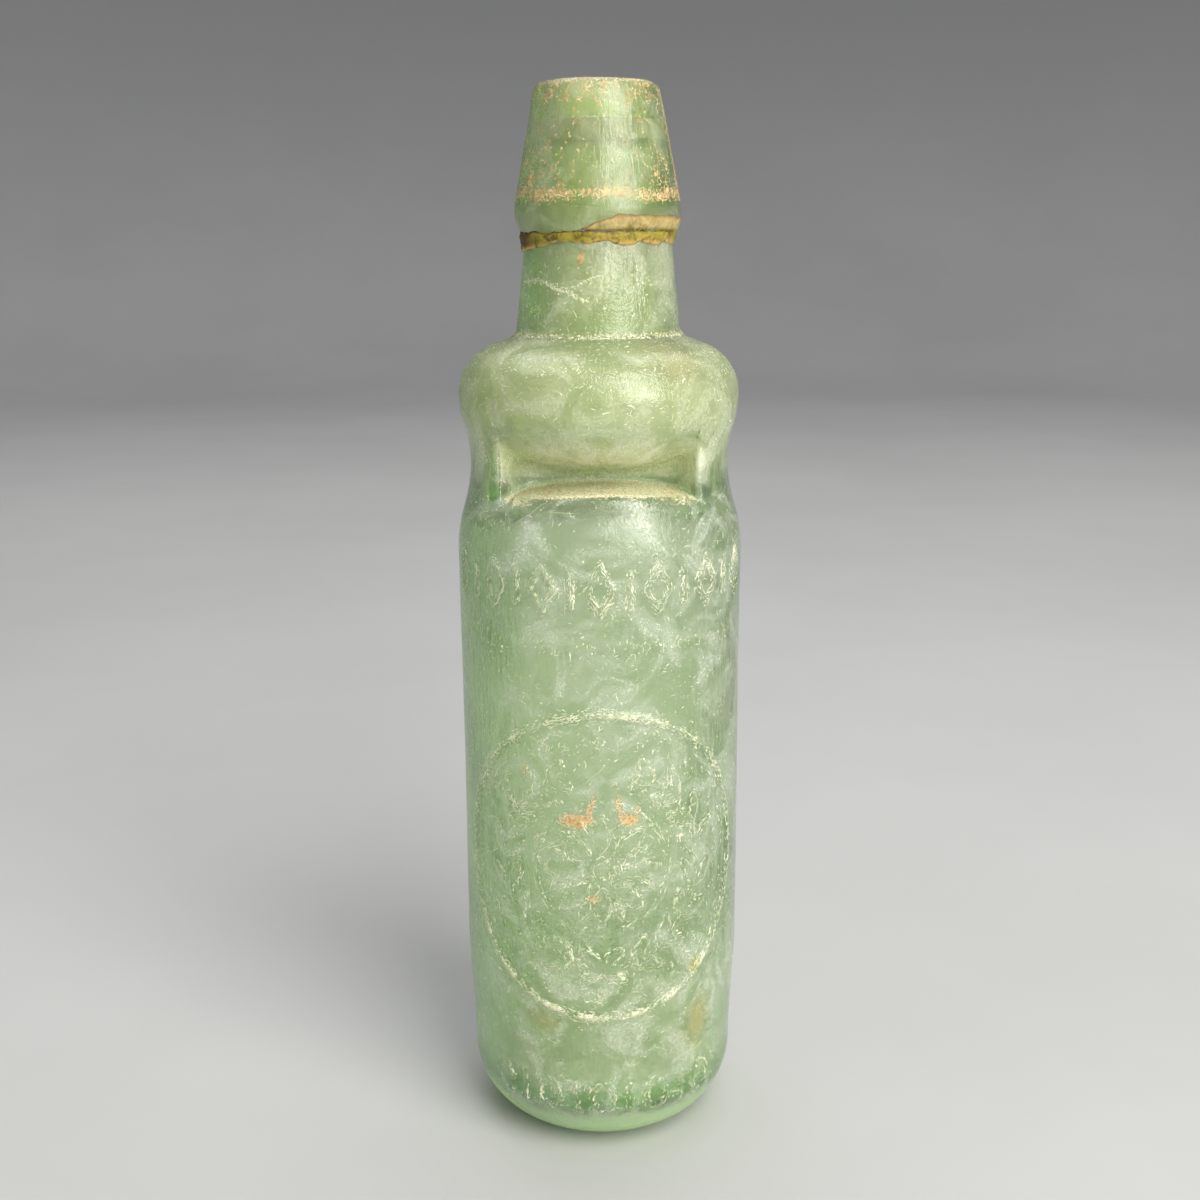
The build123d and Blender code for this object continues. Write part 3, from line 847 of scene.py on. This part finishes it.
def make_crust(material):
    """The old crust round the joint: it climbs over the lip's belly on the right."""
    turns = full_turn(360)
    deg = (degrees(turns) + 180) % 360 - 180
    climb = 3.2 * smooth(-24, 18, deg) * smooth(150, 95, deg) + 1.3 * smooth(-100, -130, deg)
    flat = turns * 0
    top = SEAM_Z + 0.35 + climb + 0.22 * waves(31, turns, flat, 9)
    top = top + 0.12 * waves(32, turns, flat, 3.5, 14)
    low = 197.9 - 1.4 * smooth(-30, -80, deg) * smooth(-160, -110, deg)
    low = low + 0.45 * waves(33, turns, flat, 13) + 0.28 * waves(34, turns, flat, 4, 14)
    low = clip(low, 195.6, 199.2)
    rows = 16
    share = linspace(0, 1, rows)[:, None]
    z = low + (top - low) * share
    neck = NECK_FOOT + (NECK_TOP - NECK_FOOT) * (z - NECK_FOOT_Z) / (SEAM_Z - NECK_FOOT_Z)
    over = clip((z - SEAM_Z) / BELLY_UP, 0, 1)
    lip = LIP_FOOT + LIP_SWELL * np.sin(over * pi / 2)
    under = where(z < SEAM_Z, neck, lip)
    fat = clip(share * 6, 0, 1) ** 0.5 * clip((1 - share) * 5, 0, 1) ** 0.5
    fill = 0.55 * smooth(197.3, 199.6, z) * (z < SEAM_Z)
    lumps = 0.10 * waves(35, turns, z, 6, 14) + 0.06 * waves(36, turns, z, 2.2, 18)
    crack_at = SEAM_Z + 0.55 + 0.12 * waves(37, turns, flat, 12)
    crack = hump(z - crack_at, 0.22) * smooth(84, 66, abs(deg + 8))[None, :]
    outer = under + (0.16 + 0.30 * fat) + fill * fat + lumps * fat - 0.42 * crack * fat
    inner = under - 0.45
    rings = concatenate([laid_round(outer, turns, z), laid_round(inner, turns, z)[::-1]])
    faces = tube_faces(rings)
    values = {
        "crack": crack,
        "rim": hump(share, 0.14),
        "brim": hump(1 - share, 0.09),
        "upper": smooth(-0.1, 0.3, z - crack_at),
        "dark": smooth(-52, -68, deg) * smooth(-140, -100, deg),
    }
    for key, numbers in values.items():
        values[key] = concatenate([np.broadcast_to(numbers, z.shape), z * 0])
    piece = add_piece("joint_crust", rings, faces, "bottle", material, values, radians(70))
    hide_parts("weld_collar")


def make_rubber(material):
    turns = full_turn(144)
    corners = [(RUBBER_OUT, GROOVE_LOW), (RUBBER_OUT, RUBBER_TOP)]
    corners += [(RUBBER_IN, RUBBER_TOP), (RUBBER_IN, GROOVE_LOW), corners[0]]
    section = rounded(corners, [0.25, 0.85, 0.85], 0.5, 0.2)[:-1]
    rings = turned(section, turns)
    z = rings[..., 2]
    free = smooth(9.6, 8.4, np.hypot(rings[..., 0], rings[..., 1])) * smooth(GROOVE_LOW, GROOVE_LOW + 0.5, z)
    shrink = 0.09 * (1 + waves(41, turns, z, 16)) + 0.05 * (1 + waves(42, turns, z, 4, 14))
    rings = rings + grid_normals(rings) * (-clip(shrink, 0, None) * free)[..., None]
    faces = tube_faces(rings)
    piece = add_piece("sealing_ring", rings, faces, "bottle", material, sharp=radians(60))
    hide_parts("rubber_ring")


def make_marble(material):
    low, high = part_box("marble")
    centre = (array(low) + array(high)) / 2 / MM
    radius = (high[0] - low[0]) / 2 / MM
    turns = full_turn(96)
    tilt = linspace(-pi / 2, pi / 2, 50)[1:-1]
    profile = stack([radius * np.cos(tilt), radius * np.sin(tilt)], 1)
    rings = turned(profile, turns)
    dip = 0.03 * (1 + waves(51, turns, rings[..., 2], 9))
    rings = rings * (1 - clip(dip, 0, None) / radius)[..., None]
    rows, cols = rings.shape[:2]
    points = concatenate([[[0, 0, -radius]], rings.reshape(-1, 3), [[0, 0, radius]]]) + centre
    faces = [(0, 1 + (j + 1) % cols, 1 + j) for j in range(cols)] + ring_faces(rings, 1)
    last, pole = 1 + (rows - 1) * cols, len(points) - 1
    faces += [(last + j, last + (j + 1) % cols, pole) for j in range(cols)]
    piece = add_piece("glass_marble", points, faces, "marble", material)
    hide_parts("marble")


# Materials


class Tree:
    """One material's nodes, made by short calls."""

    def __init__(self, name):
        self.material = bpy.data.materials.new(name)
        self.material.use_nodes = True
        self.nodes = self.material.node_tree.nodes
        self.links = self.material.node_tree.links
        self.shader = self.nodes["Principled BSDF"]
        self.output = self.nodes["Material Output"]
        self.place = self.node("ShaderNodeTexCoord").outputs["Object"]

    def node(self, kind, inputs=(), **settings):
        node = self.nodes.new(kind)
        for key, value in settings.items():
            setattr(node, key, value)
        for key, value in dict(inputs).items():
            self.set(node.inputs[key], value)
        return node

    def set(self, socket, value):
        if isinstance(value, bpy.types.NodeSocket):
            self.links.new(value, socket)
        else:
            socket.default_value = value

    def stretched(self, x, y, z):
        return self.node("ShaderNodeMapping", {"Vector": self.place, "Scale": (x, y, z)}).outputs[0]

    def noise(self, scale, detail=4.0, rough=0.55, twist=0.0, at=None):
        inputs = {"Vector": at or self.place, "Scale": scale, "Detail": detail}
        inputs |= {"Roughness": rough, "Distortion": twist}
        return self.node("ShaderNodeTexNoise", inputs).outputs[0]

    def math(self, operation, a, b=0.0, c=0.0):
        node = self.node("ShaderNodeMath", operation=operation)
        for socket, value in zip(node.inputs, (a, b, c)):
            self.set(socket, value)
        return node.outputs[0]

    def level(self, value, low, high, to_low=0.0, to_high=1.0):
        """value's range low to high, smoothly made to_low to to_high."""
        inputs = {"Value": value, "From Min": low, "From Max": high, "To Min": to_low, "To Max": to_high}
        return self.node("ShaderNodeMapRange", inputs, interpolation_type="SMOOTHSTEP").outputs[0]

    def numbers(self, *names):
        """The named numbers on the piece's points."""
        return [self.node("ShaderNodeAttribute", attribute_name=name).outputs["Fac"] for name in names]

    def folded(self, operation, values):
        out = values[0]
        for value in values[1:]:
            out = self.math(operation, out, value)
        return out

    def times(self, *values):
        return self.folded("MULTIPLY", values)

    def most(self, *values):
        return self.folded("MAXIMUM", values)

    def plus(self, *values):
        return self.folded("ADD", values)

    def clamped(self, value):
        return self.node("ShaderNodeClamp", {"Value": value}).outputs[0]

    def colours(self, share, a, b):
        node = self.node("ShaderNodeMix", {"Factor": share}, data_type="RGBA")
        for socket, value in zip(node.inputs[6:8], (a, b)):
            self.set(socket, (*value, 1.0) if isinstance(value, tuple) else value)
        return node.outputs[2]

    def banded(self, colours):
        """A colour that changes with height: heel, body, chamber, neck."""
        out = colours[0]
        if len(colours) > 1:
            height = self.node("ShaderNodeSeparateXYZ", {"Vector": self.place}).outputs["Z"]
            changes = (0.006, 0.022), (0.144, 0.156), (0.172, 0.184)
            for (low, high), colour in zip(changes, colours[1:]):
                out = self.colours(self.level(height, low, high), out, colour)
        return out

    def curls(self, scale, width, twist):
        """Thin curly lines, as cracks make them."""
        off = self.math("ABSOLUTE", self.math("SUBTRACT", self.noise(scale, 2.0, 0.5, twist), 0.5))
        return self.level(off, width, 0.0)

    def use(self, **inputs):
        for key, value in inputs.items():
            self.set(self.shader.inputs[key.replace("_", " ")], value)

    def bump(self, height, strength, distance):
        node = self.node("ShaderNodeBump", {"Height": height, "Strength": strength, "Distance": distance})
        self.set(self.shader.inputs["Normal"], node.outputs[0])

    def absorb(self, colour, density):
        node = self.node("ShaderNodeVolumeAbsorption", {"Color": (*colour, 1.0), "Density": density})
        self.links.new(node.outputs[0], self.output.inputs["Volume"])


def glass(name, clears, frosts, dust_colour, haze, grain_size, absorb, density):
    """Old glass: clear tint, clouded where it is worn, dust in the hollows, stains in spots, and painted
    light: a green left side and heel, and a brighter bowl.
    """
    t = Tree(name)
    edge, dust, rust, amber = t.numbers("edge", "dust", "rust", "amber")
    film_and_painted_light, pits, plain, side_and_heel_painted_green = t.numbers("film_and_painted_light", "pits", "plain", "side_and_heel_painted_green")
    worn = t.math("SUBTRACT", 1.0, plain)
    cloud = t.noise(95.0, 5.0, 0.68, 0.9)
    fine = t.noise(grain_size, 3.0, 0.66, 0.3)
    streaks = t.noise(1100.0, 2.0, 0.6, 0.4, t.stretched(1.0, 1.0, 0.16))
    pitted = t.noise(1000.0, 1.0, 0.5, 0.5)
    patch = t.times(t.level(cloud, 0.38, 0.66), worn)
    grain = t.times(t.level(fine, 0.46, 0.66), worn)
    hazy = t.plus(haze, film_and_painted_light, t.times(patch, 0.24), t.times(grain, t.plus(t.times(patch, 0.09), 0.05)))
    dusty = t.times(t.level(t.plus(fine, dust), 0.88, 1.14), t.level(dust, 0.0, 0.1))
    rusty = t.times(t.level(t.plus(t.times(fine, 1.5), rust), 0.98, 1.55), t.level(rust, 0.0, 0.3))
    scuffed = t.level(t.plus(fine, t.times(edge, 0.20)), 0.74, 0.92)
    stains = ((dusty, 0.92), (rusty, 0.80), (scuffed, 0.5), (amber, 0.45))
    solid = t.clamped(t.most(hazy, *(t.times(stain, share) for stain, share in stains)))
    frost = t.colours(t.times(patch, 0.55), t.banded(frosts), (0.84, 0.91, 0.86))
    # painted shade and glow: saturated green frost down the left side and at the heel
    frost = t.colours(t.times(side_and_heel_painted_green, 0.9), frost, (0.56, 0.96, 0.28))
    colour = t.colours(t.clamped(t.plus(hazy, scuffed)), t.banded(clears), frost)
    colour = t.colours(t.times(amber, 0.75), colour, (0.62, 0.50, 0.12))
    speck = t.level(fine, 0.38, 0.60)
    darker = tuple(0.9 * c for c in dust_colour)
    colour = t.colours(dusty, colour, t.colours(speck, darker, dust_colour))
    colour = t.colours(rusty, colour, t.colours(speck, (0.52, 0.27, 0.08), (0.80, 0.56, 0.26)))
    t.use(
        Base_Color=colour,
        Roughness=t.level(t.plus(t.times(solid, 0.8), t.times(grain, 0.10)), 0.0, 1.0, 0.04, 0.50),
        Transmission_Weight=t.level(solid, 0.0, 1.0, 0.98, 0.10),
        IOR=1.5,
        Specular_IOR_Level=0.9,
    )
    t.bump(t.plus(t.times(streaks, 0.55), t.times(fine, 0.30), t.times(pitted, pits)), 0.5, 0.0005)
    t.absorb(absorb, density)
    return t.material


def flake(name, pale, dull):
    t = Tree(name)
    tone = t.noise(700.0, 3.0)
    colour = t.colours(t.level(tone, 0.35, 0.65), dull, pale)
    t.use(Base_Color=colour, Roughness=0.55, Specular_IOR_Level=0.4)
    t.bump(t.noise(2600.0, 2.0), 0.4, 0.0002)
    return t.material


def crust():
    t = Tree("crust")
    lumps = t.noise(330.0, 4.0, 0.65, 0.6)
    grain = t.noise(1400.0, 3.0, 0.7)
    crack, rim, brim, upper, dark = t.numbers("crack", "rim", "brim", "upper", "dark")
    shade = t.level(lumps, 0.34, 0.62)
    low = t.colours(shade, (0.13, 0.10, 0.004), (0.36, 0.30, 0.03))
    high = t.colours(shade, (0.27, 0.195, 0.055), (0.56, 0.44, 0.18))
    colour = t.colours(upper, low, high)
    colour = t.colours(t.times(t.level(grain, 0.52, 0.66), 0.45), colour, (0.55, 0.40, 0.14))
    colour = t.colours(t.times(dark, 0.9), colour, (0.085, 0.05, 0.004))
    crumbs = t.level(t.plus(grain, t.times(shade, 0.2)), 0.42, 0.62)
    colour = t.colours(t.times(rim, crumbs), colour, (0.72, 0.46, 0.16))
    colour = t.colours(t.times(brim, 0.8), colour, (0.13, 0.065, 0.015))
    colour = t.colours(crack, colour, (0.03, 0.018, 0.002))
    t.use(Base_Color=colour, Roughness=t.level(lumps, 0.3, 0.7, 0.35, 0.75), Specular_IOR_Level=0.35)
    t.bump(t.plus(lumps, t.times(grain, 0.35)), 0.6, 0.0006)
    return t.material


def rubber():
    t = Tree("old_rubber")
    cracks = t.curls(420.0, 0.035, 3.0)
    grain = t.noise(1500.0, 4.0, 0.6)
    colour = t.colours(t.noise(160.0, 4.0), (0.14, 0.10, 0.05), (0.27, 0.21, 0.12))
    colour = t.colours(t.times(cracks, 0.7), colour, (0.02, 0.013, 0.008))
    t.use(Base_Color=colour, Roughness=t.level(grain, 0.3, 0.7, 0.6, 0.85), Specular_IOR_Level=0.4)
    t.bump(t.plus(grain, t.times(cracks, -1.2)), 0.5, 0.0003)
    return t.material


def floor_paint():
    """Pale grey underfoot, darker up the backdrop."""
    t = Tree("floor_paint")
    tone = t.noise(3.0, 5.0, 0.6)
    height = t.node("ShaderNodeSeparateXYZ", {"Vector": t.place}).outputs["Z"]
    floor = t.colours(t.level(tone, 0.3, 0.7), (0.50, 0.50, 0.495), (0.54, 0.54, 0.535))
    colour = t.colours(t.level(height, 0.0, 0.7), floor, (0.40, 0.40, 0.41))
    t.use(Base_Color=colour, Roughness=0.75, Specular_IOR_Level=0.25)
    t.bump(t.noise(900.0, 4.0), 0.08, 0.0005)
    return t.material


# Build


# name, clear tints and frosts from the heel up, dust, haze, grain, absorption and its density
aqua = glass(
    "aqua_glass",
    ((0.92, 0.98, 0.78), (0.94, 0.97, 0.84), (0.96, 0.96, 0.74), (0.96, 0.95, 0.74)),
    # the heel's bright green frost is a painted glow, and the chamber's bright yellow frost is partly
    # painted light on the bowl
    ((0.66, 0.90, 0.44), (0.85, 0.90, 0.72), (0.99, 1.0, 0.56), (0.97, 0.94, 0.54)),
    (1.0, 0.94, 0.66),
    0.10,
    2200.0,
    (0.42, 0.87, 0.08),
    62.0,
)
lip_glass = glass(
    "lip_glass",
    ((0.92, 0.95, 0.72),),
    ((0.94, 0.94, 0.62),),
    (0.74, 0.54, 0.28),
    0.13,
    2200.0,
    (0.54, 0.84, 0.12),
    60.0,
)
marble_glass = glass(
    "marble_glass",
    ((0.92, 0.96, 0.84),),
    ((0.74, 0.84, 0.64),),
    (0.74, 0.62, 0.36),
    0.10,
    1500.0,
    (0.46, 0.84, 0.26),
    60.0,
)
pale_flake = flake("pale_flake", (0.92, 0.90, 0.68), (0.62, 0.65, 0.40))
dust_grain = flake("dust_grain", (0.94, 0.89, 0.64), (0.78, 0.69, 0.42))
tan_grain = flake("tan_grain", (0.84, 0.63, 0.35), (0.55, 0.36, 0.15))
stain = flake("rust_stain", (0.58, 0.41, 0.19), (0.30, 0.19, 0.07))

outer, turn, height = make_body(aqua)
skin = Skin(outer, height)
make_flakes(skin, turn, pale_flake)
make_neck_marks(skin, pale_flake, stain)
lip_rings = make_lip(lip_glass)
make_grains(skin, turn, Skin(lip_rings, np.zeros(lip_rings.shape[:2])), dust_grain, tan_grain)
make_crust(crust())
make_rubber(rubber())
make_marble(marble_glass)

# Floor and backdrop in one sweep all round, so that every view has the same ground
reach = SWEEP_REACH
sweep = rounded([(0.02, 0.0), (reach, 0.0), (reach, reach)], [SWEEP_ROUND], 260.0, 60.0)
sweep = turned(sweep, full_turn(SWEEP_COLS))
sweep_faces = [face[::-1] for face in ring_faces(sweep)]
sweep_piece = add_piece("sweep", sweep, sweep_faces, None, floor_paint())

# Camera, as far and as high as the photograph's
scene = bpy.context.scene
camera = bpy.data.objects.new("camera", bpy.data.cameras.new("camera"))
camera.data.sensor_width = SENSOR
camera.data.lens = LENS
camera.data.clip_start = NEAREST_SEEN
camera.location = (0.0, -CAMERA_AWAY, CAMERA_UP)
tilt = Matrix.Rotation(radians(90 - CAMERA_PITCH), 4, "X")
roll = Matrix.Rotation(radians(CAMERA_ROLL), 4, "Z")
camera.matrix_world = Matrix.Translation(camera.location) @ tilt @ roll
scene.collection.objects.link(camera)
scene.camera = camera


def lamp(name, azimuth, elevation, distance, wide, tall, power, colour=(1, 1, 1)):
    """A soft rectangular lamp that faces the bottle. Azimuth is to the right of the front."""
    light = bpy.data.lights.new(name, "AREA")
    light.shape = "RECTANGLE"
    light.size, light.size_y = wide, tall
    light.energy = power
    light.color = colour
    obj = bpy.data.objects.new(name, light)
    a, e = radians(azimuth), radians(elevation)
    away = Vector((sin(a) * cos(e), -cos(a) * cos(e), sin(e)))
    obj.location = Vector((0, 0, AIM_UP)) + away * distance
    obj.rotation_euler = away.to_track_quat("Z", "Y").to_euler()
    obj.visible_camera = False
    scene.collection.objects.link(obj)


# name, azimuth, elevation, distance, width, height, power and, for the window, colour
lamp("window", 34, 34, 1.2, 0.80, 1.36, 23.0, (1.0, 0.985, 0.94))
lamp("fill", -70, 35, 1.5, 1.2, 1.2, 1.0)
lamp("top", 178, 66, 1.5, 1.6, 0.9, 10.0)

world = bpy.data.worlds.new("studio")
scene.world = world
world.use_nodes = True
background = world.node_tree.nodes["Background"]
background.inputs["Color"].default_value = (0.9, 0.92, 0.95, 1.0)
background.inputs["Strength"].default_value = 0.45
scene.view_settings.view_transform = "Standard"
